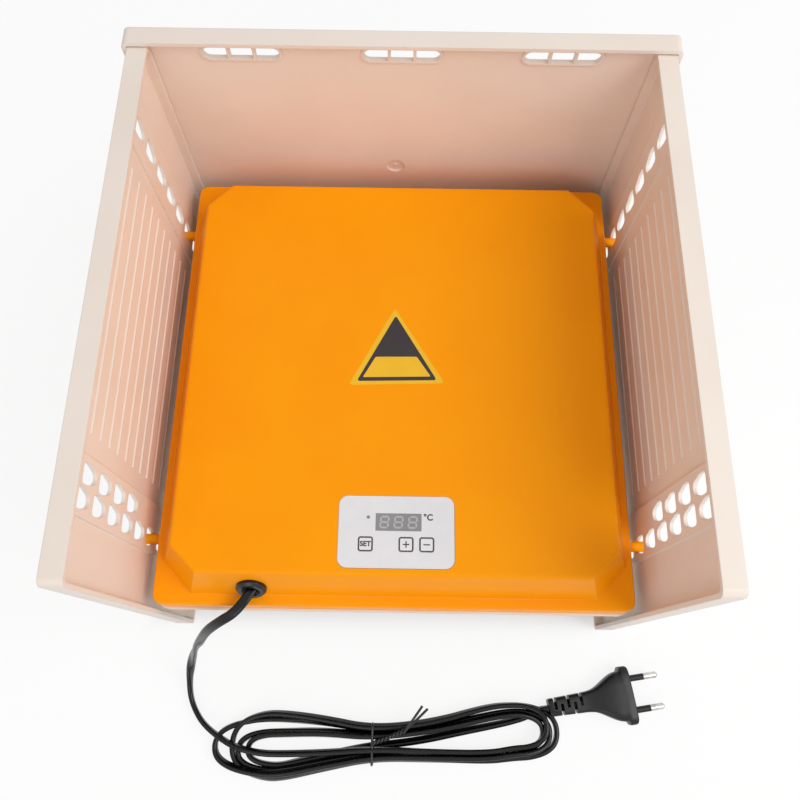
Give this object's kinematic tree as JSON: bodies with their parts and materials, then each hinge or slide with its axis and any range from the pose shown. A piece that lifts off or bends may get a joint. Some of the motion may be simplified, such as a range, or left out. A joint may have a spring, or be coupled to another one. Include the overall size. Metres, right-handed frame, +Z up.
{
  "type": "brooder heating plate",
  "caption": "Flat heating plate with a raised eight-sided top and keypad, hung on pegs between the holed side panels of a three-sided stand, with a mains lead and plug.",
  "frame": {"origin": "on the floor, below the middle of the stand's outer box", "axes": "+X to the right seen from the open front, +Y towards the back panel, +Z up"},
  "size_m": [0.3185, 0.3807, 0.221],
  "materials": {
    "stand": "pinkish beige injection moulding, satin",
    "cover": "glossy orange injection moulding",
    "tray": "pale beige injection moulding",
    "peg": "orange turned or moulded stub, glossy",
    "black_rubber": "black soft PVC",
    "lead_jacket": "black glossy PVC jacket",
    "plug_black": "black moulded plug, fine satin",
    "pin_metal": "nickel-plated brass pin, bright",
    "tie": "black coated wire",
    "label": "light grey printed film",
    "window": "smoked window",
    "key": "light grey keys under the film",
    "lamp": "small red indicator",
    "spreader": "plain rolled sheet",
    "foil": "polyimide and carbon heating foil",
    "insulation": "needled white felt",
    "board": "green solder mask",
    "component": "black epoxy and nylon",
    "relay": "blue relay case",
    "capacitor": "ochre film capacitor case",
    "terminal": "green nylon block",
    "wire": "coloured PVC insulation",
    "screw": "zinc-plated steel screw"
  },
  "bodies": {
    "stand": {"back_panel": "stand", "side_panel_left": "stand", "side_panel_right": "stand", "lead_hank": "lead_jacket", "lead_tail": "lead_jacket", "twist_tie": "tie", "plug_body": "plug_black", "plug_pins": "pin_metal", "pin_sleeves": "plug_black"},
    "plate": {"top_cover": "cover", "tray": "tray", "case_screws": "screw", "peg_front_left": "peg", "peg_front_right": "peg", "peg_back_left": "peg", "peg_back_right": "peg", "heat_spreader": "spreader", "heating_foil": "foil", "insulation_pad": "insulation", "temperature_sensor": "component", "sensor_wires": "wire", "thermal_cutout": "component", "heater_wires": "wire", "control_label": "label", "display_window": "window", "display_module": "component", "status_lamp": "lamp", "control_board": "board", "board_screws": "screw", "tact_switches": "component", "relay": "relay", "filter_capacitor": "capacitor", "board_fuse": "component", "regulator": "component", "mains_terminal": "terminal", "heater_terminal": "terminal", "mains_wires": "wire", "inner_lead": "lead_jacket", "lead_clamp": "component", "clamp_screws": "screw", "lead_bush": "black_rubber", "lead": "lead_jacket"},
    "key_set": {"key_set": "key", "plunger_set": "component"},
    "key_plus": {"key_plus": "key", "plunger_plus": "component"},
    "key_minus": {"key_minus": "key", "plunger_minus": "component"}
  },
  "joints": [
    {"name": "plate_lift", "type": "slide", "parent": "stand", "child": "plate", "axis": [0, 0, 1], "range_m": [0, 0.009]},
    {"name": "key_set_press", "type": "slide", "parent": "plate", "child": "key_set", "axis": [0, 0, -1], "range_m": [0, 0.0004], "stiffness_N_per_m": 1000, "springref_m": -0.0002},
    {"name": "key_plus_press", "type": "slide", "parent": "plate", "child": "key_plus", "axis": [0, 0, -1], "range_m": [0, 0.0004], "stiffness_N_per_m": 1000, "springref_m": -0.0002},
    {"name": "key_minus_press", "type": "slide", "parent": "plate", "child": "key_minus", "axis": [0, 0, -1], "range_m": [0, 0.0004], "stiffness_N_per_m": 1000, "springref_m": -0.0002}
  ]
}
